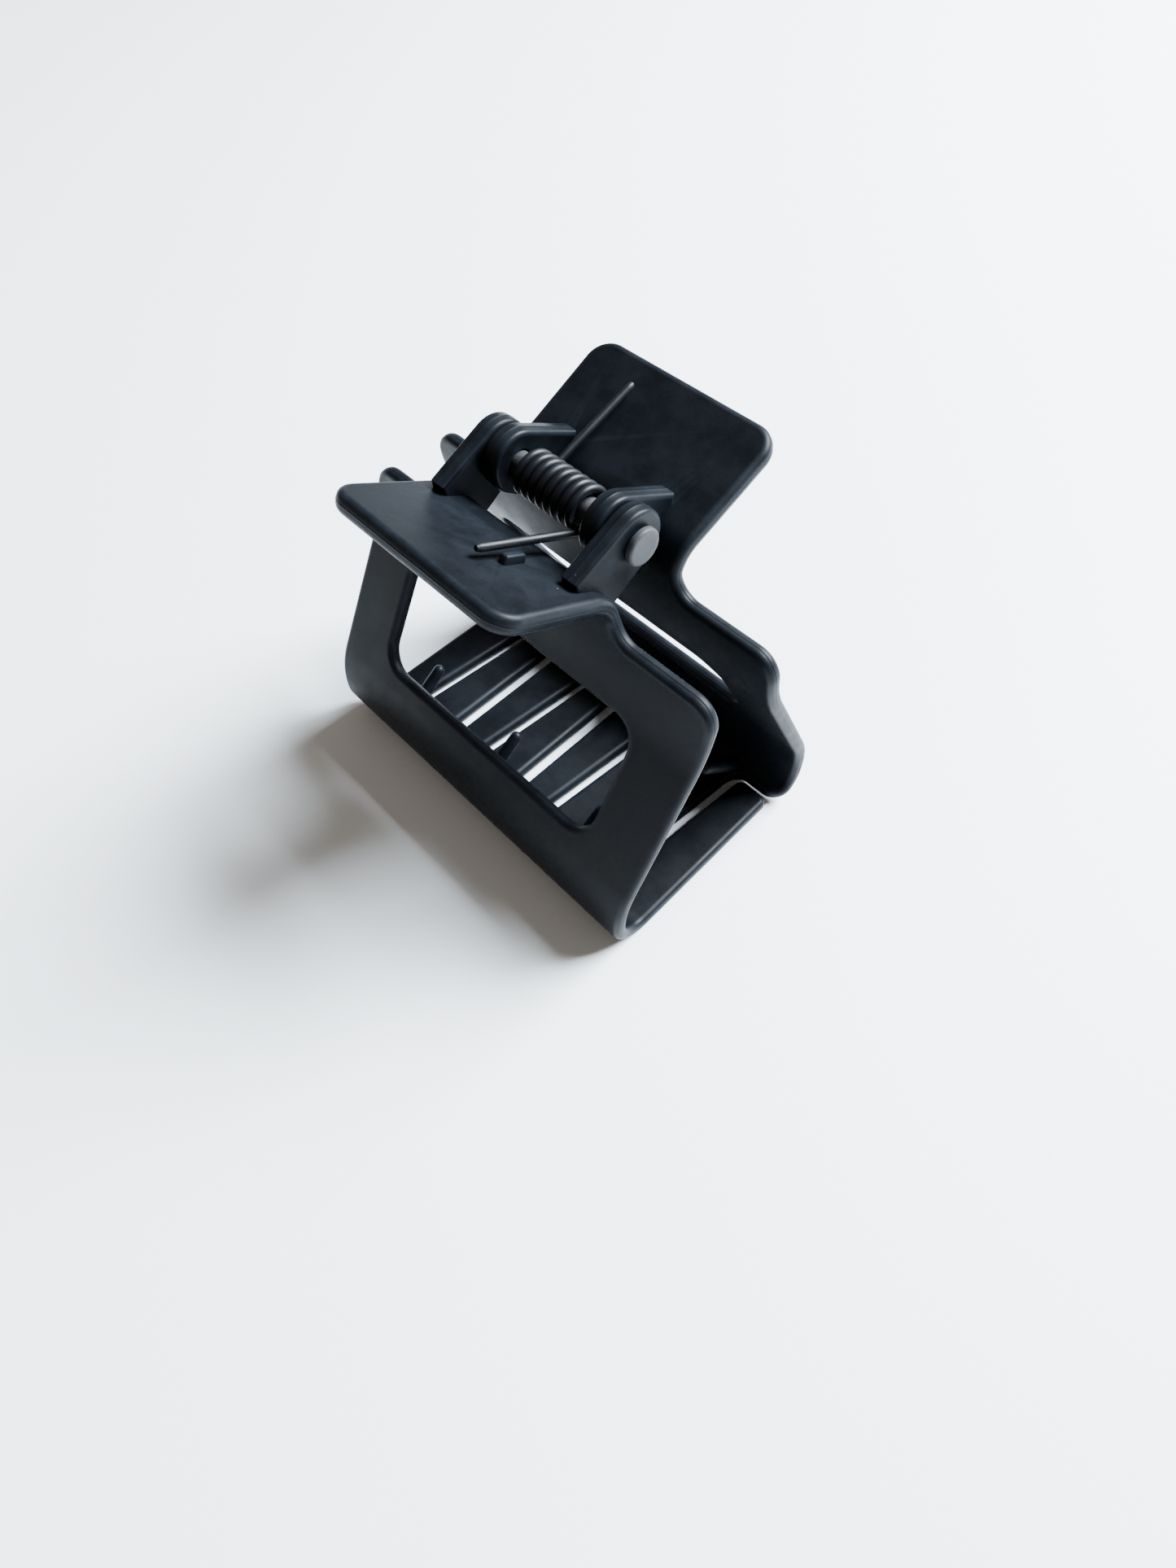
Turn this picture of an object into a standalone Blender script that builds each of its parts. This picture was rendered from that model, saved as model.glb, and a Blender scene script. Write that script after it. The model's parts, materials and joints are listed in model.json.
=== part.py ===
"""A square claw hair clip: two jaws of one moulding on a headed hinge pin, held shut by a torsion spring.

The clip stands on its comb. X runs along the hinge, the front jaw is at -Y and +Z is up. The origin is on
the table, midway between the jaws. Lengths are in millimetres and are scaled to metres as meshes are made.
d is the distance outwards from the middle plane, on a jaw's own side.
"""

import math

import bmesh
import bpy
from mathutils import Matrix, Vector

MM = 0.001

# Jaw plate in profile
WALL = 2.0
HANDLE_THICKNESS = 2.3
HANDLE_TIP = (20.4, 52.5)
HANDLE_SLOPE = math.radians(26.0)
HANDLE_CREASE = (7.4, 46.2)
NECK_D = 4.0
NECK_BEND_RADIUS = 5.9
KNEE = (5.0, 33.8)
KNEE_RADIUS = 20.0
LOWER_KNEE = (17.95, 10.3)
LOWER_KNEE_RADIUS = 13.6
FOOT_D = 18.95
COMB_BEND_RADIUS = 4.0

# Jaw plate from the front
SIDE = 29.4
SHOULDER_Z = 39.4
PLAIN_SHOULDER_Z = 39.3
SHOULDER_RADIUS = 3.4
NECK_HALF = 14.0
NECK_FILLET = 3.0
NECK_FLARE_Z = 44.0
NECK_FLARE_RADIUS = 8.0
HANDLE_HALF = 14.2
HANDLE_CORNER = 3.2
PLAIN_CORNER = 3.0
WINDOW_Z = (15.3, 30.2)
WINDOW_HALF = 20.2
WINDOW_CORNER = 3.5

# Comb: eight lanes, and every second one holds a tooth of the same jaw.
LANES = 8
PITCH = 7.19
GAP = 1.5
TOOTH_SHIFT = 0.11
TOOTH_SLANT = 0.0405
TOOTH_REACH = 13.75
NOTCH_D = 14.3
TOOTH_CORNER = 1.2
NOTCH_CORNER = 0.7
END_NOTCH_CORNER = 2.2

# Hinge
HINGE_Z = 48.2
LUG_RADIUS = 3.8
LUG_WIDTH = 2.5
FRONT_LUG_X = 10.75
REAR_LUG_X = 7.9
LUG_FIN_TIP = (9.0, 48.0)
LUG_TOP_ROOT = (8.9, 46.2)
LUG_FOOT_ROOT = (4.7, 40.4)
PIN_RADIUS = 1.5
PIN_BORE_RADIUS = 1.8
PIN_HEAD_RADIUS = 2.25
PIN_HEAD_INNER = 12.3
PIN_END = 13.15
PIN_EDGE = 0.3

# Spring
WIRE_RADIUS = 0.5
COIL_RADIUS = 2.42
COIL_TURNS = 8
COIL_HALF_LENGTH = 4.9
LEG_ANGLE = math.radians(20.0)
FRONT_LEG_TIP = (3.2, 14.6)
REAR_LEG_TIP = (5.0, 16.4)

# Grip pegs and the spring's rib
PEG_X = (-20.3, -2.6, 15.1)
PEG_ROOT = (15.0, 1.9)
PEG_TIP = (7.1, 8.1)
PEG_RADII = (1.15, 0.8)
PEG_DOME_ANGLES = (30.0, 58.0, 78.0)
RIB_X = 4.75
RIB_D = 11.4
RIB_LENGTH = 3.8
RIB_WIDTH = 1.1
RIB_HEIGHT = 1.0
RIB_CREST = 0.7

# How finely round shapes are divided
ARC_STEPS = 6
ROUND_STEPS = 32
PEG_STEPS = 14
COIL_STEPS = 20
WIRE_BEVEL = 2
SHARP_ANGLE = math.radians(30.0)
TOLERANCE = 0.001

# Colours
JAW_BLACK = (0.018, 0.018, 0.019)
PIN_BLACK = (0.03, 0.03, 0.031)
WIRE_BLACK = (0.022, 0.022, 0.023)


def clear_scene():
    for obj in list(bpy.data.objects):
        bpy.data.objects.remove(obj, do_unlink=True)


def make_material(name, colour, roughness):
    material = bpy.data.materials.new(name)
    material.use_nodes = True
    shader = material.node_tree.nodes["Principled BSDF"]
    shader.inputs["Base Color"].default_value = (*colour, 1.0)
    shader.inputs["Roughness"].default_value = roughness
    shader.inputs["Metallic"].default_value = 0.0
    return material


def filleted(corners, closed):
    """The points of a run of (x, y, radius) corners, each turned into an arc of its own radius."""
    points = []
    count = len(corners)
    for i, (x, y, radius) in enumerate(corners):
        here = Vector((x, y))
        if radius == 0 or (not closed and i in (0, count - 1)):
            points.append(here)
            continue
        before = (Vector(corners[i - 1][:2]) - here).normalized()
        after = (Vector(corners[(i + 1) % count][:2]) - here).normalized()
        half = before.angle(after) / 2
        centre = here + (before + after).normalized() * radius / math.sin(half)
        start = here + before * radius / math.tan(half) - centre
        end = here + after * radius / math.tan(half) - centre
        turn = start.angle_signed(end)
        for step in range(ARC_STEPS + 1):
            spin = Matrix.Rotation(-turn * step / ARC_STEPS, 2)
            points.append(centre + spin @ start)
    return points


def line_crossing(point_a, along_a, point_b, along_b):
    """Where two lines in the plane meet."""
    offset = point_b - point_a
    reach = (offset.x * along_b.y - offset.y * along_b.x) / (along_a.x * along_b.y - along_a.y * along_b.x)
    return point_a + along_a * reach


def face_corners(side):
    """The corners of the inner (-1) or outer (1) face, from the handle's tip to the comb's far end."""
    slope = Vector((math.cos(HANDLE_SLOPE), math.sin(HANDLE_SLOPE)))
    upright = Vector((0.0, 1.0))
    level = Vector((1.0, 0.0))
    knee = Vector(KNEE)
    lower = Vector(LOWER_KNEE)
    flare = (lower - knee).normalized()
    shin = Vector((FOOT_D - WALL / 2 - lower.x, -lower.y)).normalized()
    flare_out = Vector((-flare.y, flare.x)) * side * WALL / 2
    shin_out = Vector((-shin.y, shin.x)) * side * WALL / 2
    tip = Vector(HANDLE_TIP)
    neck = Vector((NECK_D, 0.0))
    floor_z = WALL
    bend = NECK_BEND_RADIUS
    if side > 0:
        tip += Vector((slope.y, -slope.x)) * HANDLE_THICKNESS
        neck.x += WALL
        floor_z = 0.0
        bend -= (HANDLE_THICKNESS + WALL) / 2
    crease = line_crossing(tip, slope, neck, upright)
    knee_at = line_crossing(neck, upright, knee + flare_out, flare)
    lower_at = line_crossing(knee + flare_out, flare, lower + shin_out, shin)
    foot_at = line_crossing(lower_at, shin, Vector((0.0, floor_z)), level)
    return [
        (*tip, 0),
        (*crease, bend),
        (*knee_at, KNEE_RADIUS - side * WALL / 2),
        (*lower_at, LOWER_KNEE_RADIUS + side * WALL / 2),
        (*foot_at, COMB_BEND_RADIUS + WALL / 2 + side * WALL / 2),
        (-FOOT_D, floor_z, 0),
    ]


def profile_faces():
    """Matching runs of (d, z) points on the inner and the outer face."""
    return filleted(face_corners(-1), closed=False), filleted(face_corners(1), closed=False)


def stations(inner, outer):
    """The distance of each pair of profile points along the plate's middle, from the handle's tip."""
    middles = [(a + b) / 2 for a, b in zip(inner, outer)]
    distances = [0.0]
    for before, after in zip(middles, middles[1:]):
        distances.append(distances[-1] + (after - before).length)
    return middles, distances


def along_at(middles, distances, axis, value, first, last):
    """The distance along the plate at which its middle reaches a given d (axis 0) or height (axis 1)."""
    for i in range(first, last):
        low, high = middles[i][axis], middles[i + 1][axis]
        if min(low, high) <= value <= max(low, high):
            part = (value - low) / (high - low)
            return distances[i] + (distances[i + 1] - distances[i]) * part
    raise ValueError(f"the profile doesn't reach {value}")


def lane_edge(boundary, side, d):
    """The x of a tooth's edge at d: boundary counts lanes from the plain side, side is -1 before it, 1 after."""
    return (boundary - LANES / 2) * PITCH - TOOTH_SHIFT + side * (GAP / 2 - TOOTH_SLANT * d)


def comb_corners(along_z, floor_at):
    """The comb's outline from the tooth side to the plain side, as (x, along, radius) corners."""
    root, tip = floor_at(NOTCH_D), floor_at(-TOOTH_REACH)
    corners = [(SIDE, along_z(2 * WALL), 0)]
    outer_tip = SIDE - TOOTH_SLANT * (FOOT_D + TOOTH_REACH)
    for tooth in range(LANES - 1, 0, -2):
        if tooth < LANES - 1:
            corners.append((lane_edge(tooth + 1, -1, NOTCH_D), root, NOTCH_CORNER))
            outer_tip = lane_edge(tooth + 1, -1, -TOOTH_REACH)
        corners.append((outer_tip, tip, TOOTH_CORNER))
        corners.append((lane_edge(tooth, 1, -TOOTH_REACH), tip, TOOTH_CORNER))
        corners.append((lane_edge(tooth, 1, NOTCH_D), root, END_NOTCH_CORNER if tooth == 1 else NOTCH_CORNER))
    return corners


def plate_outline(along_z, floor_at):
    """The flattened jaw plate, as (x, along, radius) corners."""
    shoulder = along_z(SHOULDER_Z)
    plain_shoulder = along_z(PLAIN_SHOULDER_Z)
    return [
        (-HANDLE_HALF, 0.0, HANDLE_CORNER),
        (HANDLE_HALF, 0.0, HANDLE_CORNER),
        (NECK_HALF, along_z(NECK_FLARE_Z), NECK_FLARE_RADIUS),
        (NECK_HALF, shoulder, NECK_FILLET),
        (SIDE, shoulder, SHOULDER_RADIUS),
        *comb_corners(along_z, floor_at),
        (-SIDE, floor_at(NOTCH_D), PLAIN_CORNER),
        (-SIDE, plain_shoulder, SHOULDER_RADIUS),
        (-NECK_HALF, plain_shoulder, NECK_FILLET),
        (-NECK_HALF, along_z(NECK_FLARE_Z), NECK_FLARE_RADIUS),
    ]


def window_outline(along_z):
    low, high = (along_z(z) for z in WINDOW_Z)
    return [
        (WINDOW_HALF, high, WINDOW_CORNER),
        (WINDOW_HALF, low, WINDOW_CORNER),
        (-WINDOW_HALF, low, WINDOW_CORNER),
        (-WINDOW_HALF, high, WINDOW_CORNER),
    ]


def flat_sheet(outlines):
    """A closed flat mesh between heights -1 and 1 whose holes are the outlines after the first."""
    curve = bpy.data.curves.new("sheet", "CURVE")
    curve.dimensions = "2D"
    curve.fill_mode = "BOTH"
    curve.extrude = 1.0
    for outline in outlines:
        spline = curve.splines.new("POLY")
        spline.points.add(len(outline) - 1)
        for point, place in zip(spline.points, outline):
            point.co = (place.x, place.y, 0.0, 1.0)
        spline.use_cyclic_u = True
    holder = bpy.data.objects.new("sheet", curve)
    bpy.context.scene.collection.objects.link(holder)
    mesh = bpy.data.meshes.new_from_object(holder)
    bpy.data.objects.remove(holder, do_unlink=True)
    sheet = bmesh.new()
    sheet.from_mesh(mesh)
    bmesh.ops.remove_doubles(sheet, verts=sheet.verts, dist=TOLERANCE)
    bpy.data.meshes.remove(mesh)
    return sheet


def bend_sheet(sheet, inner, outer, distances):
    """Slices the flat sheet at every station and lays it on the profile."""
    for distance in distances[1:-1]:
        geometry = sheet.verts[:] + sheet.edges[:] + sheet.faces[:]
        line = Vector((0.0, distance, 0.0))
        bmesh.ops.bisect_plane(sheet, geom=geometry, dist=TOLERANCE, plane_co=line, plane_no=(0.0, 1.0, 0.0))
    for vertex in sheet.verts:
        x, along, height = vertex.co
        spans = [i for i in range(len(distances) - 1) if distances[i] <= along + TOLERANCE]
        i = spans[-1] if spans else 0
        part = (along - distances[i]) / (distances[i + 1] - distances[i])
        on_inner = inner[i].lerp(inner[i + 1], part)
        on_outer = outer[i].lerp(outer[i + 1], part)
        place = on_inner.lerp(on_outer, (1.0 - height) / 2)
        vertex.co = (x, -place.x, place.y)


def finish_mesh(shape, name):
    bmesh.ops.recalc_face_normals(shape, faces=shape.faces)
    bmesh.ops.scale(shape, vec=(MM, MM, MM), verts=shape.verts)
    mesh = bpy.data.meshes.new(name)
    shape.to_mesh(mesh)
    shape.free()
    return mesh


def add_object(name, mesh, parent=None):
    """Adds an object. Its place is still measured from the origin when its parent stands elsewhere."""
    obj = bpy.data.objects.new(name, mesh)
    bpy.context.scene.collection.objects.link(obj)
    if parent:
        obj.parent = parent
        obj.matrix_parent_inverse = Matrix.Translation(-parent.location)
    return obj


def jaw_plate_mesh():
    inner, outer = profile_faces()
    middles, distances = stations(inner, outer)
    last = len(distances) - 1

    def along_z(z):
        return along_at(middles, distances, 1, z, 0, last - 1)

    def floor_at(d):
        return along_at(middles, distances, 0, d, last - ARC_STEPS, last)

    outline = filleted(plate_outline(along_z, floor_at), closed=True)
    window = filleted(window_outline(along_z), closed=True)
    sheet = flat_sheet([outline, window])
    bend_sheet(sheet, inner, outer, distances)
    return finish_mesh(sheet, "jaw_plate")


def lug_mesh(x):
    """A round-ended plate that reaches from the hinge axis into the neck and the handle."""
    shape = bmesh.new()
    outline = []
    for step in range(ROUND_STEPS):
        angle = 2 * math.pi * step / ROUND_STEPS
        outline.append((-LUG_RADIUS * math.cos(angle), HINGE_Z + LUG_RADIUS * math.sin(angle)))
    outline += [(-d, z) for d, z in (LUG_FIN_TIP, LUG_TOP_ROOT, LUG_FOOT_ROOT)]
    for side in (-1, 1):
        for y, z in outline:
            shape.verts.new((x + side * LUG_WIDTH / 2, y, z))
    made = bmesh.ops.convex_hull(shape, input=shape.verts)
    bmesh.ops.delete(shape, geom=made["geom_interior"], context="VERTS")
    return finish_mesh(shape, "lug")


def rod_mesh(start, end, radii, steps, dome):
    """A tapering rod between two points; dome rounds off its far end."""
    axis = Vector(end) - Vector(start)
    turn = Vector((0.0, 0.0, 1.0)).rotation_difference(axis)
    rings = [(0.0, radii[0]), (axis.length - dome * radii[1], radii[1])]
    if dome:
        for angle in map(math.radians, PEG_DOME_ANGLES):
            rings.append((axis.length - radii[1] * (1 - math.sin(angle)), radii[1] * math.cos(angle)))
    shape = bmesh.new()
    for height, radius in rings:
        for step in range(steps):
            angle = 2 * math.pi * step / steps
            local = Vector((radius * math.cos(angle), radius * math.sin(angle), height))
            shape.verts.new(Vector(start) + turn @ local)
    bmesh.ops.convex_hull(shape, input=shape.verts)
    return finish_mesh(shape, "rod")


def rib_mesh():
    """A low block with sloping ends on the handle's inner face."""
    slope = Vector((0.0, -math.cos(HANDLE_SLOPE), math.sin(HANDLE_SLOPE)))
    normal = Vector((0.0, math.sin(HANDLE_SLOPE), math.cos(HANDLE_SLOPE)))
    rise = (RIB_D - HANDLE_CREASE[0]) * math.tan(HANDLE_SLOPE)
    centre = Vector((RIB_X, -RIB_D, HANDLE_CREASE[1] + rise))
    shape = bmesh.new()
    for side in (-1, 1):
        for reach, height in ((-1, -1), (1, -1), (-RIB_CREST, 1), (RIB_CREST, 1)):
            place = centre + slope * reach * RIB_LENGTH / 2 + normal * RIB_HEIGHT * height
            shape.verts.new(place + Vector((side * RIB_WIDTH / 2, 0.0, 0.0)))
    bmesh.ops.convex_hull(shape, input=shape.verts)
    return finish_mesh(shape, "rib")


def add_boolean(target, other, operation):
    modifier = target.modifiers.new(other.name, "BOOLEAN")
    modifier.operation = operation
    modifier.solver = "EXACT"
    modifier.object = other
    other.hide_render = True
    other.display_type = "WIRE"


def finish_solid(obj, material):
    obj.data.materials.clear()
    obj.data.materials.append(material)
    obj.data.shade_smooth()
    obj.data.set_sharp_from_angle(angle=SHARP_ANGLE)


def make_jaw(name, plate, lug_x, has_rib, material, holder):
    """One moulding. The front jaw's holder is the empty on the hinge axis, which swings it."""
    jaw = add_object(name, plate.copy(), holder)
    finish_solid(jaw, material)
    helpers = []
    for x in (-lug_x, lug_x):
        helpers.append(add_object(f"{name}_lug", lug_mesh(x), holder))
    for x in PEG_X:
        root = (x, -PEG_ROOT[0], PEG_ROOT[1])
        tip = (x, -PEG_TIP[0], PEG_TIP[1])
        helpers.append(add_object(f"{name}_peg", rod_mesh(root, tip, PEG_RADII, PEG_STEPS, 1), holder))
    if has_rib:
        helpers.append(add_object(f"{name}_rib", rib_mesh(), holder))
    for helper in helpers:
        add_boolean(jaw, helper, "UNION")
    reach = lug_x + 2 * LUG_WIDTH
    start = (-reach, 0.0, HINGE_Z)
    bore = rod_mesh(start, (reach, 0.0, HINGE_Z), (PIN_BORE_RADIUS, PIN_BORE_RADIUS), ROUND_STEPS, 0)
    add_boolean(jaw, add_object(f"{name}_bore", bore, holder), "DIFFERENCE")
    return jaw


def hinge_pin(material):
    """A shaft between two formed heads, turned from one profile with a Screw modifier."""
    profile = [
        (0.0, -PIN_END),
        (PIN_HEAD_RADIUS - PIN_EDGE, -PIN_END),
        (PIN_HEAD_RADIUS, -PIN_END + PIN_EDGE),
        (PIN_HEAD_RADIUS, -PIN_HEAD_INNER),
        (PIN_RADIUS, -PIN_HEAD_INNER),
        (PIN_RADIUS, PIN_HEAD_INNER),
        (PIN_HEAD_RADIUS, PIN_HEAD_INNER),
        (PIN_HEAD_RADIUS, PIN_END - PIN_EDGE),
        (PIN_HEAD_RADIUS - PIN_EDGE, PIN_END),
        (0.0, PIN_END),
    ]
    mesh = bpy.data.meshes.new("hinge_pin")
    points = [(x * MM, radius * MM, 0.0) for radius, x in profile]
    edges = [(i, i + 1) for i in range(len(points) - 1)]
    mesh.from_pydata(points, edges, [])
    pin = add_object("hinge_pin", mesh)
    pin.location.z = HINGE_Z * MM
    screw = pin.modifiers.new("turned", "SCREW")
    screw.axis = "X"
    screw.steps = ROUND_STEPS
    screw.render_steps = ROUND_STEPS
    screw.use_merge_vertices = True
    screw.merge_threshold = 0.00001
    screw.use_normal_flip = True
    mesh.materials.append(material)
    return pin


def spring_path():
    """The wire's centre line: front leg, coil, rear leg. Each leg runs on straight from the coil's underside."""
    edge_d = COIL_RADIUS * math.sin(LEG_ANGLE)
    edge_z = HINGE_Z - COIL_RADIUS * math.cos(LEG_ANGLE)
    front_x, front_d = FRONT_LEG_TIP
    rear_x, rear_d = REAR_LEG_TIP
    slope = math.tan(LEG_ANGLE)
    path = [(front_x, -front_d, edge_z + (front_d - edge_d) * slope)]
    # Seen from +X with the front to the left, the coil winds from the front leg under and round to the rear leg.
    total = 2 * math.pi * COIL_TURNS + 2 * LEG_ANGLE
    steps = COIL_STEPS * COIL_TURNS
    for step in range(steps + 1):
        angle = -math.pi / 2 - LEG_ANGLE + total * step / steps
        x = COIL_HALF_LENGTH * (1 - 2 * step / steps)
        path.append((x, COIL_RADIUS * math.cos(angle), HINGE_Z + COIL_RADIUS * math.sin(angle)))
    path.append((-rear_x, rear_d, edge_z + (rear_d - edge_d) * slope))
    return path


def torsion_spring(material):
    curve = bpy.data.curves.new("torsion_spring", "CURVE")
    curve.dimensions = "3D"
    curve.bevel_depth = WIRE_RADIUS * MM
    curve.bevel_resolution = WIRE_BEVEL
    curve.use_fill_caps = True
    path = spring_path()
    spline = curve.splines.new("POLY")
    spline.points.add(len(path) - 1)
    for point, place in zip(spline.points, path):
        point.co = (place[0] * MM, place[1] * MM, place[2] * MM, 1.0)
    spring = add_object("torsion_spring", curve)
    curve.materials.append(material)
    return spring


def main():
    clear_scene()
    plate = jaw_plate_mesh()
    hinge = add_object("hinge_axis", None)
    hinge.empty_display_size = 0.01
    hinge.location.z = HINGE_Z * MM
    rear_turn = add_object("rear_turn", None)
    rear_turn.rotation_euler.z = math.pi
    front_black = make_material("soft_touch_black_front", JAW_BLACK, roughness=0.55)
    rear_black = make_material("soft_touch_black_rear", JAW_BLACK, roughness=0.55)
    make_jaw("jaw_front", plate, FRONT_LUG_X, True, front_black, hinge)
    make_jaw("jaw_rear", plate, REAR_LUG_X, False, rear_black, rear_turn)
    hinge_pin(make_material("painted_pin", PIN_BLACK, roughness=0.6))
    torsion_spring(make_material("painted_wire", WIRE_BLACK, roughness=0.5))


main()
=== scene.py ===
# %% [markdown]
# # A square claw hair clip in soft-touch black
#
# The clip is four pieces: two jaws, the wire spring that shuts them and the pin they turn on. This
# lesson models each one, paints them, and sets up a table-top studio. The first step loads the
# mechanical frame, whose joints and sizes every piece has to respect.

# %% Load the frame
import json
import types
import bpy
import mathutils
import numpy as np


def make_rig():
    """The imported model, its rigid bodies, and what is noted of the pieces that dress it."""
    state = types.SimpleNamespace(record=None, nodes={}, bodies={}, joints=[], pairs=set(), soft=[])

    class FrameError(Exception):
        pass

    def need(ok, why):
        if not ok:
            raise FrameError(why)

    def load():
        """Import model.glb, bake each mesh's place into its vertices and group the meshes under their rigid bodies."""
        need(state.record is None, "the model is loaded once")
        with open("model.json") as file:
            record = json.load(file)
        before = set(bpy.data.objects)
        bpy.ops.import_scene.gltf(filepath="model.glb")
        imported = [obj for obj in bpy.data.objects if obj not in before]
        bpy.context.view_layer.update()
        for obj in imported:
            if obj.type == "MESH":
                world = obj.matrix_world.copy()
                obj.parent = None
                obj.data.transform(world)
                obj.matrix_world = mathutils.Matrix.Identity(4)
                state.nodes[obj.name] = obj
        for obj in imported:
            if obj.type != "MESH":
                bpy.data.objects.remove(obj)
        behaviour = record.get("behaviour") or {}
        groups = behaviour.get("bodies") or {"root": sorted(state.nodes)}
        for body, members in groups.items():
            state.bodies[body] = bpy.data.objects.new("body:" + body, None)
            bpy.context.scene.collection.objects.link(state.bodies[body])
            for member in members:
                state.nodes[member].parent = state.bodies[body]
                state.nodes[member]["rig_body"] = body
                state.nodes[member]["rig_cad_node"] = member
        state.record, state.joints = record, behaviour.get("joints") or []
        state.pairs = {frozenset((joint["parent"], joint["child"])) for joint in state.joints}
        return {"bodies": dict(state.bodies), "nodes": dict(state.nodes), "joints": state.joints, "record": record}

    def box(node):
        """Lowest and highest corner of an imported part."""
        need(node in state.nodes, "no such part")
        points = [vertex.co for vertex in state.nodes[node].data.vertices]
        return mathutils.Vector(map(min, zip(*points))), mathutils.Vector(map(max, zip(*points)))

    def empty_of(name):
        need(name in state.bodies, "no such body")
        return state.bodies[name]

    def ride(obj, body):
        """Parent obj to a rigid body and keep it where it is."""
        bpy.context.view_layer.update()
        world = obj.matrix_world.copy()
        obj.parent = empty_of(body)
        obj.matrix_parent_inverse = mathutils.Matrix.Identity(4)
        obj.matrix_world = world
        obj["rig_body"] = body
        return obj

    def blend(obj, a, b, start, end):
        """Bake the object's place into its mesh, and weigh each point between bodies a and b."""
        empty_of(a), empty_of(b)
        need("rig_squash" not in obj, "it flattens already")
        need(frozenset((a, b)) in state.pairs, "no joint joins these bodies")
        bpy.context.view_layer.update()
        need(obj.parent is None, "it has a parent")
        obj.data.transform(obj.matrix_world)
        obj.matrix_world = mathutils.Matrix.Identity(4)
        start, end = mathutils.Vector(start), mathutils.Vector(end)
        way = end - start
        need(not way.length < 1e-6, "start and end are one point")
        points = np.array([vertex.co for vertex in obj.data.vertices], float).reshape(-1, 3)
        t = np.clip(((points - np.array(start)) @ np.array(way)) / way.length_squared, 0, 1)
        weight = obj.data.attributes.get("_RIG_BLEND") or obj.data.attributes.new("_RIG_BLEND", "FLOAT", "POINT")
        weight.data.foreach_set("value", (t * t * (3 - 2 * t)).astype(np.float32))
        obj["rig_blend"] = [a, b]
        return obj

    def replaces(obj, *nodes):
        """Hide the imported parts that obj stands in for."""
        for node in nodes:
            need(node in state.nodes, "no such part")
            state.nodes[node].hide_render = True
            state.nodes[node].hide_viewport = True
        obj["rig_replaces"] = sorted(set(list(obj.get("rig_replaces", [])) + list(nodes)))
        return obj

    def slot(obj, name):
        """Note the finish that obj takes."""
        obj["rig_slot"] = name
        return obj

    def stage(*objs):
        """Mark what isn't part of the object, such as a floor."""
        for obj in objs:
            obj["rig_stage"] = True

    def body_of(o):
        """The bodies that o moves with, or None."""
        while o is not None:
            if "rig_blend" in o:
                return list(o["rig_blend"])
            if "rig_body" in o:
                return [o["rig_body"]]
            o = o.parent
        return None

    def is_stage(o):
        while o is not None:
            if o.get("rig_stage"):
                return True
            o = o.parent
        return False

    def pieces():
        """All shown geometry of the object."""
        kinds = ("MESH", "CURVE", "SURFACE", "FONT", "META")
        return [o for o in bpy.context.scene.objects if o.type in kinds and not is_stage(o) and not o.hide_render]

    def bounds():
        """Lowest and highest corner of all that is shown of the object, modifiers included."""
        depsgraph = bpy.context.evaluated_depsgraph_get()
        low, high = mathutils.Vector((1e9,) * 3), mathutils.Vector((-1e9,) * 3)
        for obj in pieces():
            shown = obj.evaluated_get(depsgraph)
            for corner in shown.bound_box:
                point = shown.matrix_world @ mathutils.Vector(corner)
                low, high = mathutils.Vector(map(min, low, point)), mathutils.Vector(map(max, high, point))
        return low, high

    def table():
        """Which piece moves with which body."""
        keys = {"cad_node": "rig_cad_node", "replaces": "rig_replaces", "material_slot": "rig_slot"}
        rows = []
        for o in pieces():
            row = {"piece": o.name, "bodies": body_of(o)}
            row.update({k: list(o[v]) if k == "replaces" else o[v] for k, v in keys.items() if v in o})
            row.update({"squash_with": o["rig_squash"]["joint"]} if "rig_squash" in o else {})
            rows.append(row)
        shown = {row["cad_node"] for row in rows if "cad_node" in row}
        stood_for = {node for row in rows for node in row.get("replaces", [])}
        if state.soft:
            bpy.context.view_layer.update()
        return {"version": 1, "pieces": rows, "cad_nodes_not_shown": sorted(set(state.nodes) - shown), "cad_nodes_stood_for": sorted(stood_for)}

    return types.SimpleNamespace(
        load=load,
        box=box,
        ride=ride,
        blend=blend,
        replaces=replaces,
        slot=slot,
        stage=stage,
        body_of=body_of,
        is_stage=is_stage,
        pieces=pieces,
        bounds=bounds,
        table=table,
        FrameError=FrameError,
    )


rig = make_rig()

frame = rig.load()
cad_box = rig.bounds()

import json
import math

import bmesh
import bpy
from mathutils import Matrix, Vector

MM = 0.001
hinge = Vector(frame["joints"][0]["pos_m"]) / MM
print("bodies:", sorted(frame["bodies"]), "hinge height in mm:", round(hinge.z, 2))

# %% [markdown]
# ## The camera
#
# The clip is small, and it was looked at from close by with a wide lens, so near corners loom and far
# ones shrink. A long lens from further off would flatten it. The clip fills only the middle of the
# view, and the near clipping distance has to be far below Blender's usual 10 cm.

# %% Place the camera
CAMERA_PLACE = Vector((63.3, -56.9, 115.3)) * MM
CAMERA_AIM = Vector((-0.4044, 0.3908, -0.8269))
CAMERA_LENS = 21.35
CAMERA_NEAR = 0.005

camera_data = bpy.data.cameras.new("close_camera")
camera_data.lens = CAMERA_LENS
camera_data.sensor_width = 36.0
camera_data.clip_start = CAMERA_NEAR
camera = bpy.data.objects.new("close_camera", camera_data)
camera.location = CAMERA_PLACE
camera.rotation_euler = CAMERA_AIM.to_track_quat("-Z", "Y").to_euler()
bpy.context.scene.collection.objects.link(camera)
bpy.context.scene.camera = camera
print("camera distance in mm:", round(CAMERA_PLACE.length / MM))

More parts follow.
